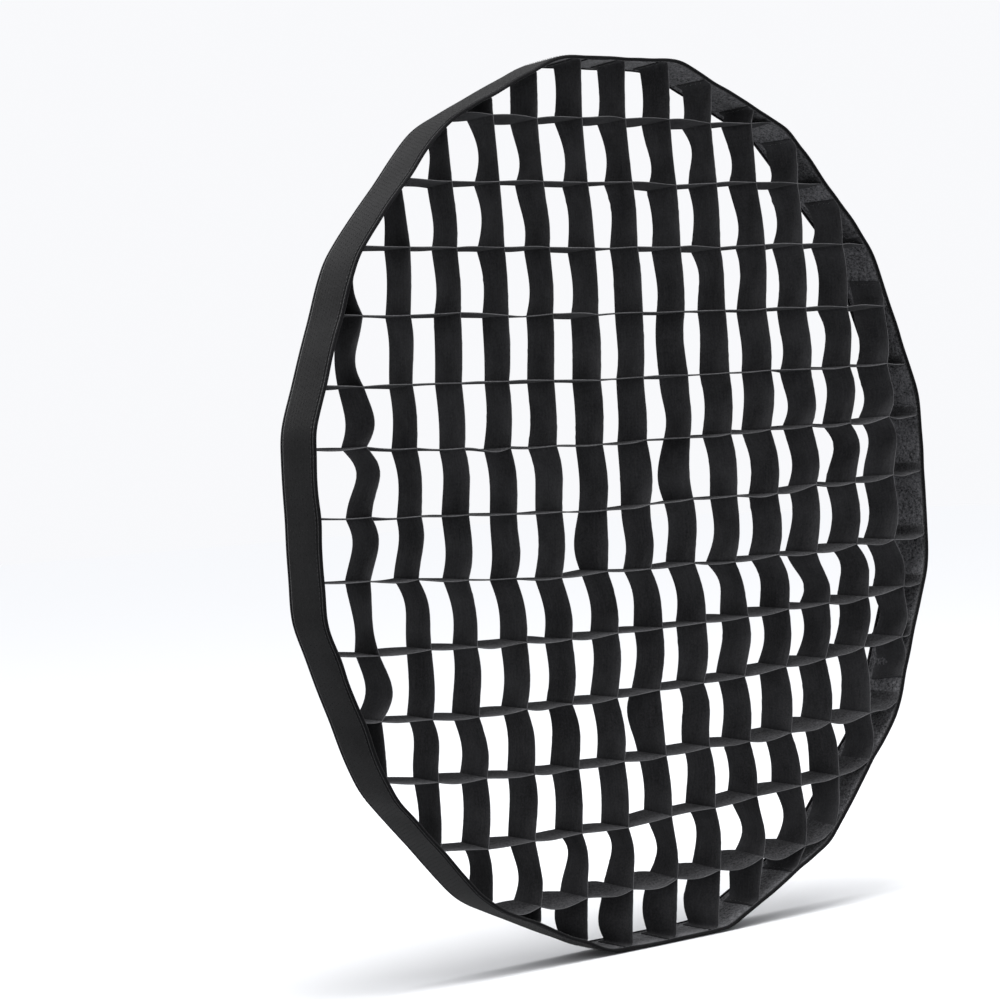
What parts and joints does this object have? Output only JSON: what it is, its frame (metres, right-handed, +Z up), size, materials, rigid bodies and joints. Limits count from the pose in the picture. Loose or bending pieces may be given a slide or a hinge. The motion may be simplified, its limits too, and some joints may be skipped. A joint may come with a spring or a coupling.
{
  "type": "fabric honeycomb grid",
  "caption": "Round soft light-control grid: square cells of black cloth strips sewn inside a many-sided cloth rim with hook tape round its outside.",
  "frame": {"origin": "middle of the rim, halfway between its front and rear edges", "axes": "+X to the right across the face, +Y from the front into the softbox, +Z up"},
  "size_m": [0.6994, 0.042, 0.6994],
  "materials": {
    "strip_cloth": "matt woven black cloth",
    "brushed_band": "brushed charcoal cloth",
    "hook_tape": "black hook tape",
    "binding": "black folded tape",
    "thread": "black sewing thread"
  },
  "bodies": {
    "root": {"rim_band": "brushed_band", "hook_tape": "hook_tape", "front_binding": "binding", "rear_binding": "binding", "front_stitching": "thread", "rear_stitching": "thread", "crossing_tacks": "thread", "tab_tacks": "thread", "strip_end_tabs": "strip_cloth", "column_strip_01": "strip_cloth", "column_strip_02": "strip_cloth", "column_strip_03": "strip_cloth", "column_strip_04": "strip_cloth", "column_strip_05": "strip_cloth", "column_strip_06": "strip_cloth", "column_strip_07": "strip_cloth", "column_strip_08": "strip_cloth", "column_strip_09": "strip_cloth", "column_strip_10": "strip_cloth", "column_strip_11": "strip_cloth", "column_strip_12": "strip_cloth", "column_strip_13": "strip_cloth", "row_strip_01": "strip_cloth", "row_strip_02": "strip_cloth", "row_strip_03": "strip_cloth", "row_strip_04": "strip_cloth", "row_strip_05": "strip_cloth", "row_strip_06": "strip_cloth", "row_strip_07": "strip_cloth", "row_strip_08": "strip_cloth", "row_strip_09": "strip_cloth", "row_strip_10": "strip_cloth", "row_strip_11": "strip_cloth", "row_strip_12": "strip_cloth", "row_strip_13": "strip_cloth"}
  },
  "joints": []
}
